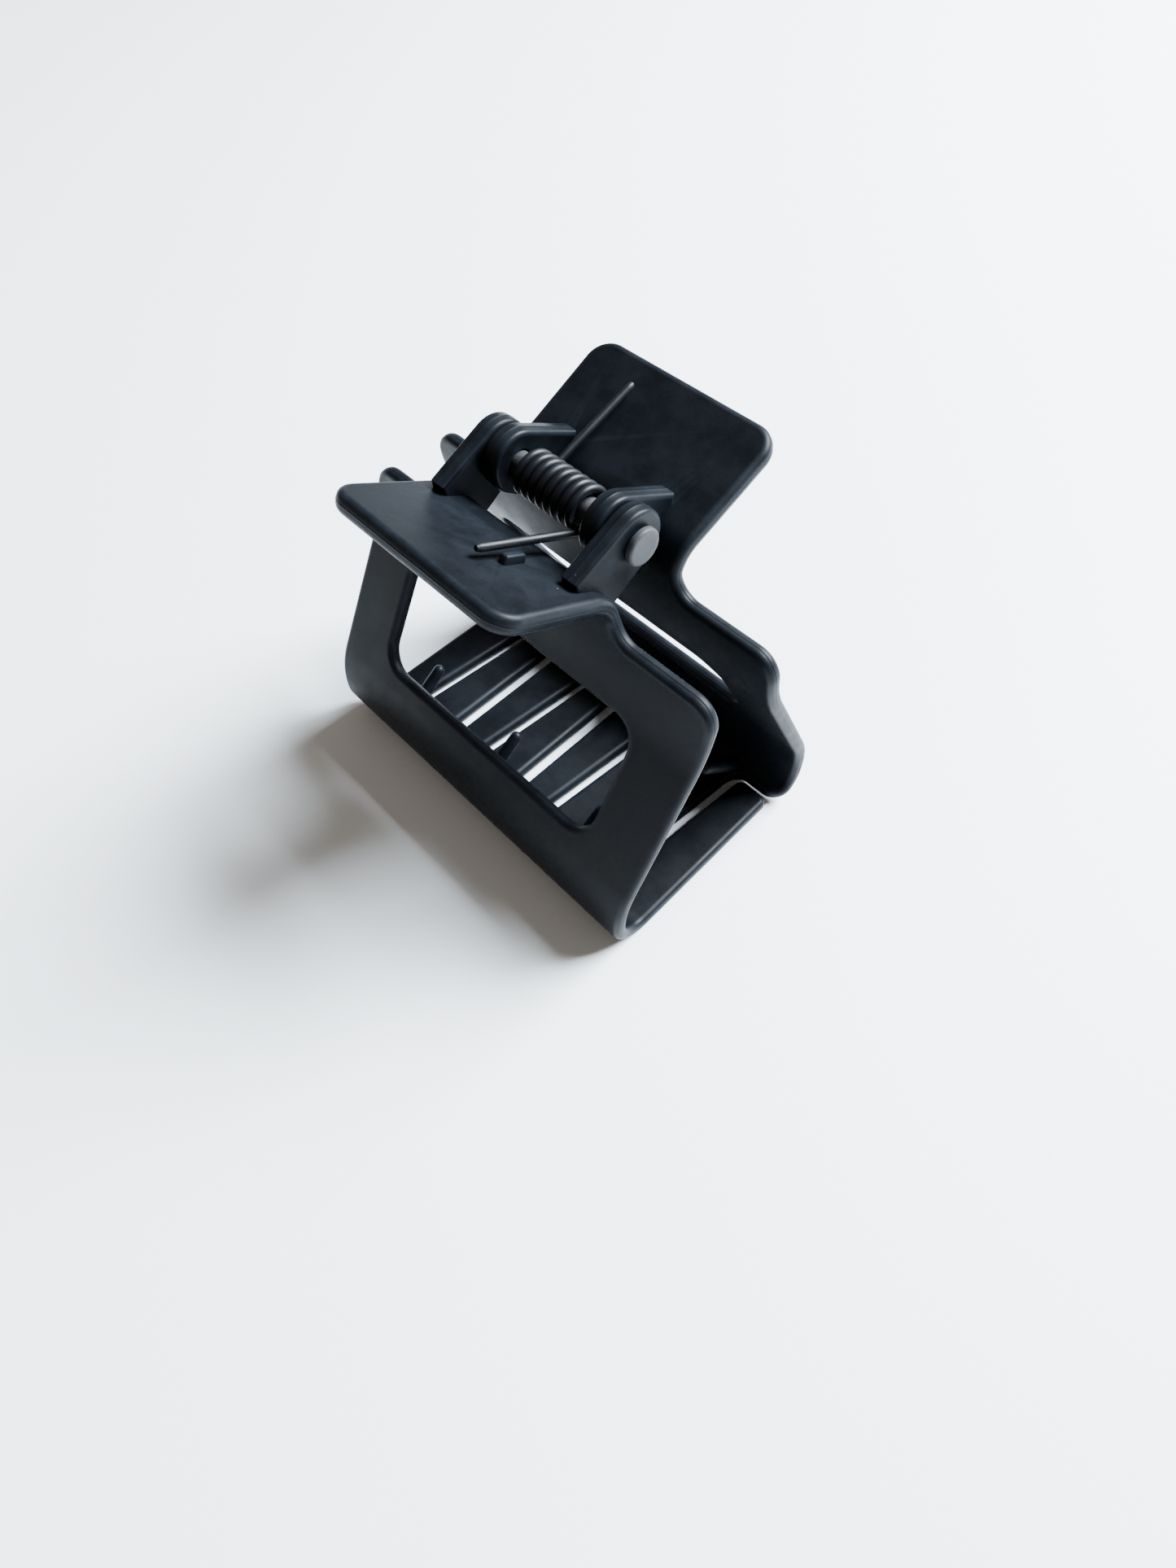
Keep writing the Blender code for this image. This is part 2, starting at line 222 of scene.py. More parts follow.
# %% [markdown]
# ## A jaw, seen from its end
#
# Each jaw is one bent plate of moulded plastic. Seen from its end, the plate starts at the handle's tip,
# rolls over into the neck, flares out as the wall, and turns in at the foot to make the comb's floor.
# A profile of two matching lines, inner face and outer face, holds all of this. The corners are given
# with their radii, and one function turns each into an arc, so the numbers stay few and readable.

# %% Corners into arcs
ARC_STEPS = 14


def rounded(corners, closed, steps=ARC_STEPS):
    """A run of (x, y, radius) corners as points, with each corner turned into an arc."""
    points = []
    count = len(corners)
    for i, (x, y, radius) in enumerate(corners):
        here = Vector((x, y))
        if radius == 0 or (not closed and i in (0, count - 1)):
            points.append(here)
            continue
        before = (Vector(corners[i - 1][:2]) - here).normalized()
        after = (Vector(corners[(i + 1) % count][:2]) - here).normalized()
        half = before.angle(after) / 2
        centre = here + (before + after).normalized() * radius / math.sin(half)
        start = here + before * radius / math.tan(half) - centre
        end = here + after * radius / math.tan(half) - centre
        turn = start.angle_signed(end)
        for step in range(steps + 1):
            points.append(centre + Matrix.Rotation(-turn * step / steps, 2) @ start)
    return points


def crossing(point_a, along_a, point_b, along_b):
    """Where two lines in the plane meet."""
    offset = point_b - point_a
    reach = (offset.x * along_b.y - offset.y * along_b.x) / (along_a.x * along_b.y - along_a.y * along_b.x)
    return point_a + along_a * reach


# %% The plate's profile
WALL = 2.0
HANDLE_THICKNESS = 2.3
HANDLE_TIP = Vector((20.4, 52.5))
HANDLE_SLOPE = math.radians(26.0)
HANDLE_CREASE = (7.4, 46.2)
NECK_D = 4.0
NECK_BEND = 5.9
KNEE = Vector((5.0, 33.8))
KNEE_BEND = 20.0
LOWER_KNEE = Vector((17.95, 10.3))
LOWER_KNEE_BEND = 13.6
FOOT_D = 18.95
COMB_BEND = 4.0


def face_corners(side):
    """The corners of the inner (-1) or outer (1) face, from the handle's tip to the comb's far end."""
    slope = Vector((math.cos(HANDLE_SLOPE), math.sin(HANDLE_SLOPE)))
    flare = (LOWER_KNEE - KNEE).normalized()
    shin = Vector((FOOT_D - WALL / 2 - LOWER_KNEE.x, -LOWER_KNEE.y)).normalized()
    knee = KNEE + Vector((-flare.y, flare.x)) * side * WALL / 2
    lower = LOWER_KNEE + Vector((-shin.y, shin.x)) * side * WALL / 2
    tip, neck, floor_z, bend = HANDLE_TIP, Vector((NECK_D, 0.0)), WALL, NECK_BEND
    if side > 0:
        tip = HANDLE_TIP + Vector((slope.y, -slope.x)) * HANDLE_THICKNESS
        neck = Vector((NECK_D + WALL, 0.0))
        floor_z = 0.0
        bend = NECK_BEND - (HANDLE_THICKNESS + WALL) / 2
    upright, level = Vector((0.0, 1.0)), Vector((1.0, 0.0))
    foot = crossing(lower, shin, Vector((0.0, floor_z)), level)
    return [
        (*tip, 0),
        (*crossing(tip, slope, neck, upright), bend),
        (*crossing(neck, upright, knee, flare), KNEE_BEND - side * WALL / 2),
        (*crossing(knee, flare, lower, shin), LOWER_KNEE_BEND + side * WALL / 2),
        (*foot, COMB_BEND + (1 + side) * WALL / 2),
        (-FOOT_D, floor_z, 0),
    ]


inner_face = rounded(face_corners(-1), closed=False)
outer_face = rounded(face_corners(1), closed=False)
middles = [(a + b) / 2 for a, b in zip(inner_face, outer_face)]
along = [0.0]
for before, after in zip(middles, middles[1:]):
    along.append(along[-1] + (after - before).length)
print("plate length along its middle in mm:", round(along[-1], 1), "stations:", len(along))

# %% [markdown]
# ## A jaw, laid out flat
#
# Before it is bent, the plate is a flat outline with a window in it, written down the plate from the
# handle's tip to the tips of the teeth. The wall's sides are straight, and its end tooth stands on one
# side only. Every second lane of the comb holds a tooth of this jaw, so the teeth come from one loop.

# %% The outline
SIDE = 29.36
SHOULDER_Z = 39.4
SHOULDER_RADIUS = 3.4
NECK_HALF = 14.0
NECK_FILLET = 3.0
NECK_FLARE_Z = 44.0
NECK_FLARE_RADIUS = 8.0
PLAIN_SHOULDER_DROP = 0.1
HANDLE_HALF = 14.2
HANDLE_CORNER = 3.2
PLAIN_CORNER = 3.0
LANES = 8
PITCH = 7.19
GAP = 1.5
TOOTH_SHIFT = 0.11
TOOTH_SLANT = 0.0405
TOOTH_REACH = 13.75
NOTCH_D = 14.3
TOOTH_CORNER = 1.3
NOTCH_CORNER = 0.8
END_NOTCH_CORNER = 2.2
WINDOW_Z = (15.3, 30.2)
WINDOW_HALF = 20.2
WINDOW_CORNER = 3.5


def along_at(axis, value, first, last):
    """How far along the plate its middle reaches a given distance out (axis 0) or height (axis 1)."""
    for i in range(first, last):
        low, high = middles[i][axis], middles[i + 1][axis]
        if min(low, high) <= value <= max(low, high):
            return along[i] + (along[i + 1] - along[i]) * (value - low) / (high - low)
    raise ValueError(f"the profile doesn't reach {value}")


def at_height(z):
    return along_at(1, z, 0, len(along) - 2)


def on_floor(d):
    return along_at(0, d, len(along) - 1 - ARC_STEPS, len(along) - 1)


def lane_edge(boundary, side, d):
    """A tooth's edge at distance d: side is -1 for the edge before a lane's boundary and 1 after it."""
    return (boundary - LANES / 2) * PITCH - TOOTH_SHIFT + side * (GAP / 2 - TOOTH_SLANT * d)


def comb_corners():
    """The comb's outline, from the side with the end tooth to the plain side."""
    root, tip = on_floor(NOTCH_D), on_floor(-TOOTH_REACH)
    corners = [(SIDE, at_height(2 * WALL), 0)]
    outer_tip = SIDE - TOOTH_SLANT * (FOOT_D + TOOTH_REACH)
    for tooth in range(LANES - 1, 0, -2):
        if tooth < LANES - 1:
            corners.append((lane_edge(tooth + 1, -1, NOTCH_D), root, NOTCH_CORNER))
            outer_tip = lane_edge(tooth + 1, -1, -TOOTH_REACH)
        corners.append((outer_tip, tip, TOOTH_CORNER))
        corners.append((lane_edge(tooth, 1, -TOOTH_REACH), tip, TOOTH_CORNER))
        corners.append((lane_edge(tooth, 1, NOTCH_D), root, END_NOTCH_CORNER if tooth == 1 else NOTCH_CORNER))
    return corners


shoulder = at_height(SHOULDER_Z)
plain_shoulder = shoulder + PLAIN_SHOULDER_DROP
neck_flare = at_height(NECK_FLARE_Z)
plate_outline = [
    (-HANDLE_HALF, 0.0, HANDLE_CORNER),
    (HANDLE_HALF, 0.0, HANDLE_CORNER),
    (NECK_HALF, neck_flare, NECK_FLARE_RADIUS),
    (NECK_HALF, shoulder, NECK_FILLET),
    (SIDE, shoulder, SHOULDER_RADIUS),
    *comb_corners(),
    (-SIDE, on_floor(NOTCH_D), PLAIN_CORNER),
    (-SIDE, plain_shoulder, SHOULDER_RADIUS),
    (-NECK_HALF, plain_shoulder, NECK_FILLET),
    (-NECK_HALF, neck_flare, NECK_FLARE_RADIUS),
]
window_foot, window_top = (at_height(z) for z in WINDOW_Z)
window_outline = [
    (WINDOW_HALF, window_top, WINDOW_CORNER),
    (WINDOW_HALF, window_foot, WINDOW_CORNER),
    (-WINDOW_HALF, window_foot, WINDOW_CORNER),
    (-WINDOW_HALF, window_top, WINDOW_CORNER),
]
print("outline corners:", len(plate_outline), "window corners:", len(window_outline))

# %% [markdown]
# ## From the flat sheet to a jaw
#
# The rims of the real plate are rolled, around the window and between the teeth too. A Bevel would trip
# over the tight notches, so the rim is swept here: the outline is repeated at several heights, each time
# drawn in by what a quarter round takes away. A hair-thin ridge half way up stands for the parting line
# that the two halves of the mould leave, and one more ring inside each rim keeps its smooth shading from
# bleeding across the flat face. The sheet is then cut across at every station of the profile, and each
# point moves to its place between the two faces.

# %% Make and bend the sheet
RIM_RADIUS = 0.8
RIM_STEPS = 5
RING = 0.12
PARTING_HALF = 0.07
PARTING_RISE = 0.035
SHORTEST_EDGE = 0.01
CUT_TOLERANCE = 0.002
SHARPEST_DRAW = 0.5


def rim_rows(thickness, radius):
    """(how far drawn in, height) of each ring of a sheet, from the lower face to the upper one."""
    lower = [(radius + RING, -thickness / 2)]
    for step in range(RIM_STEPS + 1):
        angle = math.pi / 2 * step / RIM_STEPS
        lower.append((radius * (1 - math.sin(angle)), -thickness / 2 + radius * (1 - math.cos(angle))))
    lower.append((0.0, -PARTING_HALF))
    upper = [(inset, -height) for inset, height in reversed(lower)]
    return lower + [(-PARTING_RISE, 0.0)] + upper


def inward_normals(points):
    """For each point of a closed run, the direction to its left."""
    normals = []
    for i, here in enumerate(points):
        way_in = (here - points[i - 1]).normalized()
        way_out = (points[(i + 1) % len(points)] - here).normalized()
        middle = (way_in + way_out).normalized()
        normals.append(Vector((-middle.y, middle.x)) / max(SHARPEST_DRAW, middle.dot(way_in)))
    return normals


def without_doubles(points):
    return [point for i, point in enumerate(points) if (point - points[i - 1]).length > SHORTEST_EDGE]


def flat_sheet(outlines, thickness, radius):
    """A flat plate with rolled rims. Material lies to the left of each outline."""
    sheet = bmesh.new()
    rows = rim_rows(thickness, radius)
    cap_edges = {0: [], len(rows) - 1: []}
    for points in outlines:
        points = without_doubles(points)
        normals = inward_normals(points)
        rings = []
        for inset, height in rows:
            places = [point + normal * inset for point, normal in zip(points, normals)]
            rings.append([sheet.verts.new((place.x, place.y, height)) for place in places])
        for lower, upper in zip(rings, rings[1:]):
            for i in range(len(points)):
                sheet.faces.new((lower[i - 1], lower[i], upper[i], upper[i - 1]))
        for row, edges in cap_edges.items():
            for i in range(len(points)):
                edges.append(sheet.edges.get((rings[row][i - 1], rings[row][i])))
    for edges in cap_edges.values():
        bmesh.ops.triangle_fill(sheet, edges=edges, use_beauty=True)
    return sheet


def cut(sheet, place, direction):
    geometry = sheet.verts[:] + sheet.edges[:] + sheet.faces[:]
    bmesh.ops.bisect_plane(sheet, geom=geometry, dist=CUT_TOLERANCE, plane_co=place, plane_no=direction)


def bend(sheet):
    """Cuts the sheet at the profile's stations and lays it between the inner and the outer face."""
    for distance in along[1:-1]:
        cut(sheet, Vector((0.0, distance, 0.0)), Vector((0.0, 1.0, 0.0)))
    for vertex in sheet.verts:
        x, distance, height = vertex.co
        i = max([0] + [k for k in range(len(along) - 1) if along[k] <= distance + CUT_TOLERANCE])
        part = (distance - along[i]) / (along[i + 1] - along[i])
        on_inner = inner_face[i].lerp(inner_face[i + 1], part)
        on_outer = outer_face[i].lerp(outer_face[i + 1], part)
        place = on_inner.lerp(on_outer, 0.5 - height / WALL)
        vertex.co = (x, -place.x, place.y)
    bmesh.ops.recalc_face_normals(sheet, faces=sheet.faces)


def as_object(shape, name):
    """A bmesh in millimetres as an object in metres."""
    bmesh.ops.scale(shape, vec=(MM, MM, MM), verts=shape.verts)
    mesh = bpy.data.meshes.new(name)
    shape.to_mesh(mesh)
    shape.free()
    made = bpy.data.objects.new(name, mesh)
    bpy.context.scene.collection.objects.link(made)
    return made


plate_edge = rounded(plate_outline, closed=True)
window_edge = rounded(window_outline, closed=True)[::-1]
plate = flat_sheet([plate_edge, window_edge], WALL, RIM_RADIUS)
bend(plate)
open_edges = [edge for edge in plate.edges if len(edge.link_faces) != 2]
print("plate faces:", len(plate.faces), "open edges:", len(open_edges))
jaw_plate = as_object(plate, "jaw_plate")

# %% [markdown]
# ## Hinge lugs
#
# Two flat arms stand up from each jaw's handle root and carry the pin. The front jaw's pair sits
# outside the rear one's, so the jaws are alike apart from these. A lug is a plate too: its outline is
# the tight wrap of a round end, the tip of a small fin and two points inside the jaw's wall, and the same
# sheet function rolls its rims.

# %% Make a lug
LUG_RADIUS = 3.8
LUG_WIDTH = 2.5
LUG_RIM = 0.5
LUG_FIN_TIP = Vector((9.0, 48.0))
LUG_TOP_ROOT = Vector((8.9, 46.2))
LUG_FOOT_ROOT = Vector((4.7, 40.4))
FRONT_LUG_X = 10.75
REAR_LUG_X = 7.9
ROUND_STEPS = 64


def lug_outline():
    """The wrap round the lug's end, its fin and its two roots, turning to the left."""
    turns = [2 * math.pi * step / ROUND_STEPS for step in range(ROUND_STEPS)]
    points = [Vector((LUG_RADIUS * math.cos(turn), hinge.z + LUG_RADIUS * math.sin(turn))) for turn in turns]
    points += [LUG_FIN_TIP, LUG_TOP_ROOT, LUG_FOOT_ROOT]
    wrap = bmesh.new()
    for point in points:
        wrap.verts.new((point.x, point.y, 0.0))
    middle = sum(points, Vector((0.0, 0.0))) / len(points)
    made = bmesh.ops.convex_hull(wrap, input=wrap.verts)
    inside = set(made["geom_interior"]) | set(made["geom_unused"])
    outer = [Vector(vertex.co[:2]) for vertex in wrap.verts if vertex not in inside]
    wrap.free()
    return sorted(outer, key=lambda point: math.atan2(point.y - middle.y, point.x - middle.x))


def make_lug(x):
    lug = flat_sheet([lug_outline()], LUG_WIDTH, LUG_RIM)
    for vertex in lug.verts:
        d, z, height = vertex.co
        vertex.co = (x + height, -d, z)
    bmesh.ops.recalc_face_normals(lug, faces=lug.faces)
    return as_object(lug, "lug")


test_lug = make_lug(0.0)
print("lug size in mm:", [round(side / MM, 1) for side in test_lug.dimensions])
bpy.data.objects.remove(test_lug)

# %% [markdown]
# ## Grip pegs
#
# Three tapering pegs point up and inwards from the foot of each wall and hold the hair. They are equal
# and equally spaced, so they suit Geometry Nodes: one tree sweeps a round section along a straight
# line, thins it towards a domed end, and sets copies along a row. Every size is a named input.

# %% Helpers for node trees
def new_tree(name, inputs, outputs):
    """A Geometry Nodes tree with named sockets, given as (name, kind, default)."""
    tree = bpy.data.node_groups.new(name, "GeometryNodeTree")
    for title, kind, default in inputs:
        socket = tree.interface.new_socket(title, in_out="INPUT", socket_type=kind)
        if default is not None:
            socket.default_value = default
    for title, kind in outputs:
        tree.interface.new_socket(title, in_out="OUTPUT", socket_type=kind)
    return tree


def add_node(tree, kind, links=None, **settings):
    """A node with its settings made and its inputs linked, or set where a plain value is given."""
    node = tree.nodes.new(kind)
    for name, value in settings.items():
        setattr(node, name, value)
    for name, source in (links or {}).items():
        socket = node.inputs[name]
        if isinstance(source, bpy.types.NodeSocket):
            tree.links.new(source, socket)
        else:
            socket.default_value = source
    return node


def calculate(tree, operation, *values):
    """A Math node's result."""
    return add_node(tree, "ShaderNodeMath", dict(enumerate(values)), operation=operation).outputs[0]


def finish_tree(tree, geometry, material):
    """Makes copies real, sets the material and sends the geometry out."""
    real = add_node(tree, "GeometryNodeRealizeInstances", {"Geometry": geometry}).outputs[0]
    painted = add_node(tree, "GeometryNodeSetMaterial", {"Geometry": real, "Material": material})
    out = tree.nodes.new("NodeGroupOutput")
    tree.links.new(painted.outputs[0], out.inputs[0])
    return tree


def mesh_from_tree(name, tree, values):
    """Runs a tree with the given inputs on an empty mesh and returns the result as a plain mesh object."""
    made = bpy.data.objects.new(name, bpy.data.meshes.new(name))
    bpy.context.scene.collection.objects.link(made)
    modifier = made.modifiers.new(name, "NODES")
    modifier.node_group = tree
    for item in tree.interface.items_tree:
        if item.item_type == "SOCKET" and item.in_out == "INPUT" and item.name in values:
            modifier[item.identifier] = values[item.name]
    bpy.context.view_layer.update()
    graph = bpy.context.evaluated_depsgraph_get()
    mesh = bpy.data.meshes.new_from_object(made.evaluated_get(graph), depsgraph=graph)
    made.modifiers.clear()
    made.data = mesh
    return made


# %% The peg tree
PEG_COUNT = 3
PEG_FIRST_X = -20.3
PEG_SPACING = 17.7
PEG_ROOT = Vector((0.0, -15.0, 1.9))
PEG_TIP = Vector((0.0, -7.1, 8.1))
PEG_ROOT_RADIUS = 1.2
PEG_TIP_RADIUS = 0.8
PEG_RINGS = 40
PEG_SIDES = 28
DOME_END = 0.98


def peg_tree():
    tree = new_tree(
        "grip_pegs",
        [
            ("Count", "NodeSocketInt", 3),
            ("First", "NodeSocketVector", None),
            ("Spacing", "NodeSocketFloat", 0.02),
            ("Reach", "NodeSocketVector", None),
            ("Root Radius", "NodeSocketFloat", 0.001),
            ("Tip Radius", "NodeSocketFloat", 0.001),
            ("Finish", "NodeSocketMaterial", None),
        ],
        [("Geometry", "NodeSocketGeometry")],
    )
    given = tree.nodes.new("NodeGroupInput").outputs
    line = add_node(tree, "GeometryNodeCurvePrimitiveLine", {"End": given["Reach"]})
    points = add_node(tree, "GeometryNodeResampleCurve", {"Curve": line.outputs[0], "Count": PEG_RINGS})
    length = add_node(tree, "ShaderNodeVectorMath", {0: given["Reach"]}, operation="LENGTH").outputs["Value"]
    factor = tree.nodes.new("GeometryNodeSplineParameter").outputs["Factor"]
    taper = add_node(
        tree, "ShaderNodeMix", {0: factor, 2: given["Root Radius"], 3: given["Tip Radius"]}, data_type="FLOAT"
    ).outputs[0]
    left = calculate(tree, "MULTIPLY", calculate(tree, "SUBTRACT", 1.0, factor), length)
    into_dome = calculate(tree, "SUBTRACT", 1.0, calculate(tree, "DIVIDE", left, given["Tip Radius"]))
    sunk = calculate(tree, "MULTIPLY", calculate(tree, "MAXIMUM", into_dome, 0.0), DOME_END)
    dome = calculate(tree, "SQRT", calculate(tree, "SUBTRACT", 1.0, calculate(tree, "MULTIPLY", sunk, sunk)))
    circle = add_node(tree, "GeometryNodeCurvePrimitiveCircle", {"Resolution": PEG_SIDES, "Radius": 1.0})
    sweep = add_node(
        tree,
        "GeometryNodeCurveToMesh",
        {
            "Curve": points.outputs[0],
            "Profile Curve": circle.outputs[0],
            "Scale": calculate(tree, "MULTIPLY", taper, dome),
            "Fill Caps": True,
        },
    )
    row_step = add_node(tree, "ShaderNodeCombineXYZ", {"X": given["Spacing"]})
    row = add_node(
        tree,
        "GeometryNodeMeshLine",
        {"Count": given["Count"], "Start Location": given["First"], "Offset": row_step.outputs[0]},
    )
    spread_out = {"Points": row.outputs[0], "Instance": sweep.outputs[0]}
    copies = add_node(tree, "GeometryNodeInstanceOnPoints", spread_out)
    return finish_tree(tree, copies.outputs[0], given["Finish"])


def make_pegs():
    first = PEG_ROOT + Vector((PEG_FIRST_X, 0.0, 0.0))
    return mesh_from_tree(
        "pegs",
        pegs_by_rule,
        {
            "Count": PEG_COUNT,
            "First": first * MM,
            "Spacing": PEG_SPACING * MM,
            "Reach": (PEG_TIP - PEG_ROOT) * MM,
            "Root Radius": PEG_ROOT_RADIUS * MM,
            "Tip Radius": PEG_TIP_RADIUS * MM,
        },
    )


pegs_by_rule = peg_tree()
test_pegs = make_pegs()
print("pegs:", PEG_COUNT, "faces:", len(test_pegs.data.polygons))
bpy.data.objects.remove(test_pegs)

# %% [markdown]
# ## One solid moulding
#
# Lugs, pegs and, on the front jaw, a small rib beside the spring's leg belong to the jaw's moulding, so
# an exact Boolean unites them with the plate and drills the bore. The rear jaw is the same moulding
# turned half a turn about the vertical. The turn is baked into its mesh, so that its object, like every
# other, sits unturned at the origin.

# %% Unite the jaws
BORE_RADIUS = 1.75
RIB_X = 4.75
RIB_D = 11.4
RIB_LENGTH = 3.8
RIB_WIDTH = 1.1
RIB_HEIGHT = 1.0
RIB_CREST = 0.75
RIB_EDGE = 0.28
RIB_EDGE_STEPS = 4


def make_rib():
    slope = Vector((0.0, -math.cos(HANDLE_SLOPE), math.sin(HANDLE_SLOPE)))
    normal = Vector((0.0, math.sin(HANDLE_SLOPE), math.cos(HANDLE_SLOPE)))
    rise = (RIB_D - HANDLE_CREASE[0]) * math.tan(HANDLE_SLOPE)
    centre = Vector((RIB_X, -RIB_D, HANDLE_CREASE[1] + rise))
    rib = bmesh.new()
    for side in (-1, 1):
        for reach, height in ((-1, -1), (1, -1), (-RIB_CREST, 1), (RIB_CREST, 1)):
            place = centre + slope * reach * RIB_LENGTH / 2 + normal * RIB_HEIGHT * height
            rib.verts.new(place + Vector((side * RIB_WIDTH / 2, 0.0, 0.0)))
    bmesh.ops.convex_hull(rib, input=rib.verts)
    bmesh.ops.dissolve_limit(rib, angle_limit=math.radians(1), verts=rib.verts, edges=rib.edges)
    edges = rib.edges[:]
    bmesh.ops.bevel(rib, geom=edges, offset=RIB_EDGE, segments=RIB_EDGE_STEPS, profile=0.5, affect="EDGES")
    return as_object(rib, "rib")


def make_bore():
    bore = bmesh.new()
    turn = Matrix.Translation((0.0, 0.0, hinge.z)) @ Matrix.Rotation(math.pi / 2, 4, "Y")
    length = 4 * FRONT_LUG_X
    bmesh.ops.create_cone(
        bore,
        cap_ends=True,
        segments=ROUND_STEPS,
        radius1=BORE_RADIUS,
        radius2=BORE_RADIUS,
        depth=length,
        matrix=turn,
    )
    return as_object(bore, "bore")


def unite(name, plate_mesh, added, removed):
    """The plate with everything else united or cut, as one plain mesh object."""
    jaw = bpy.data.objects.new(name, plate_mesh)
    bpy.context.scene.collection.objects.link(jaw)
    for other, operation in [(piece, "UNION") for piece in added] + [(removed, "DIFFERENCE")]:
        modifier = jaw.modifiers.new(other.name, "BOOLEAN")
        modifier.operation = operation
        modifier.solver = "EXACT"
        modifier.object = other
    bpy.context.view_layer.update()
    graph = bpy.context.evaluated_depsgraph_get()
    solid = bpy.data.meshes.new_from_object(jaw.evaluated_get(graph))
    jaw.modifiers.clear()
    jaw.data = solid
    for other in added + [removed]:
        bpy.data.objects.remove(other)
    return jaw


def make_jaw(name, lug_x, extras):
    added = [make_lug(-lug_x), make_lug(lug_x), make_pegs()] + extras
    return unite(name, jaw_plate.data.copy(), added, make_bore())


front_jaw = make_jaw("front_jaw_moulding", FRONT_LUG_X, [make_rib()])
rear_jaw = make_jaw("rear_jaw_moulding", REAR_LUG_X, [])
rear_jaw.data.transform(Matrix.Rotation(math.pi, 4, "Z"))
bpy.data.objects.remove(jaw_plate)
print("jaw faces:", len(front_jaw.data.polygons), len(rear_jaw.data.polygons))

# %% [markdown]
# ## The hinge pin
#
# The pin is turned and its ends are formed into low round heads that keep the lugs together. A profile
# spun about the hinge axis is the natural way to make it. The heads' rims are slightly domed, as a
# rivet set leaves them, and their faces dip a little towards the middle.

# %% Spin the pin
PIN_RADIUS = 1.5
HEAD_RADIUS = 2.25
HEAD_INNER = 12.3
HEAD_EDGE = 0.35
HEAD_DIP = 0.06
HEAD_UNDERCUT = 0.15
HEAD_BACK_EDGE = 0.12
HEAD_BACK_DEPTH = 0.14
DIP_RADII = (1.4, 0.7)
pin_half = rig.box("hinge_pin")[1][0] / MM


def pin_profile():
    """(x, radius) of the pin's end, from its middle outwards."""
    points = [(0.0, PIN_RADIUS), (HEAD_INNER - HEAD_UNDERCUT, PIN_RADIUS)]
    points.append((HEAD_INNER, PIN_RADIUS + HEAD_UNDERCUT))
    points.append((HEAD_INNER, HEAD_RADIUS - HEAD_BACK_EDGE))
    points.append((HEAD_INNER + HEAD_BACK_EDGE / 3, HEAD_RADIUS - HEAD_BACK_EDGE / 4))
    points.append((HEAD_INNER + HEAD_BACK_DEPTH, HEAD_RADIUS))
    for step in range(RIM_STEPS + 2):
        angle = math.pi / 2 * step / (RIM_STEPS + 1)
        x = pin_half - HEAD_EDGE * (1 - math.sin(angle))
        points.append((x, HEAD_RADIUS - HEAD_EDGE * (1 - math.cos(angle))))
    return points + [(pin_half - HEAD_DIP / 3, DIP_RADII[0]), (pin_half - HEAD_DIP, DIP_RADII[1])]


def spin_pin():
    half = pin_profile()
    profile = [(-x, radius) for x, radius in reversed(half[1:])] + half
    pin = bmesh.new()
    rings = []
    for x, radius in profile:
        turns = [2 * math.pi * step / ROUND_STEPS for step in range(ROUND_STEPS)]
        places = [(x, radius * math.cos(turn), hinge.z + radius * math.sin(turn)) for turn in turns]
        rings.append([pin.verts.new(place) for place in places])
    for before, after in zip(rings, rings[1:]):
        for i in range(ROUND_STEPS):
            pin.faces.new((before[i - 1], before[i], after[i], after[i - 1]))
    for ring, x in ((rings[0], -pin_half + HEAD_DIP), (rings[-1], pin_half - HEAD_DIP)):
        pole = pin.verts.new((x, 0.0, hinge.z))
        for i in range(ROUND_STEPS):
            pin.faces.new((ring[i - 1], ring[i], pole))
    bmesh.ops.recalc_face_normals(pin, faces=pin.faces)
    return as_object(pin, "hinge_pin_turned")


pin = spin_pin()
print("pin length in mm:", round(2 * pin_half, 1))

# %% [markdown]
# ## The torsion spring
#
# One steel wire is wound round the pin, and each end runs off straight to press on a handle. One rule
# gives its whole line. Along the coil a point goes round with its angle; past either end it carries
# straight on along the wire's own direction. In Geometry Nodes the wire's points are counted off, the
# rule sets their places, and a round section is swept along them. The legs lean a little sideways.

# %% The spring tree
WIRE_RADIUS = 0.5
COIL_RADIUS = 2.42
COIL_TURNS = 8
COIL_HALF = 4.9
LEG_ANGLE = math.radians(20.0)
FRONT_LEG_LENGTH = 14.65
REAR_LEG_LENGTH = 16.5
FRONT_LEAN = -0.116
REAR_LEAN = -0.006
WIRE_POINTS = 520
WIRE_SIDES = 16
BLUNT_END = 0.72


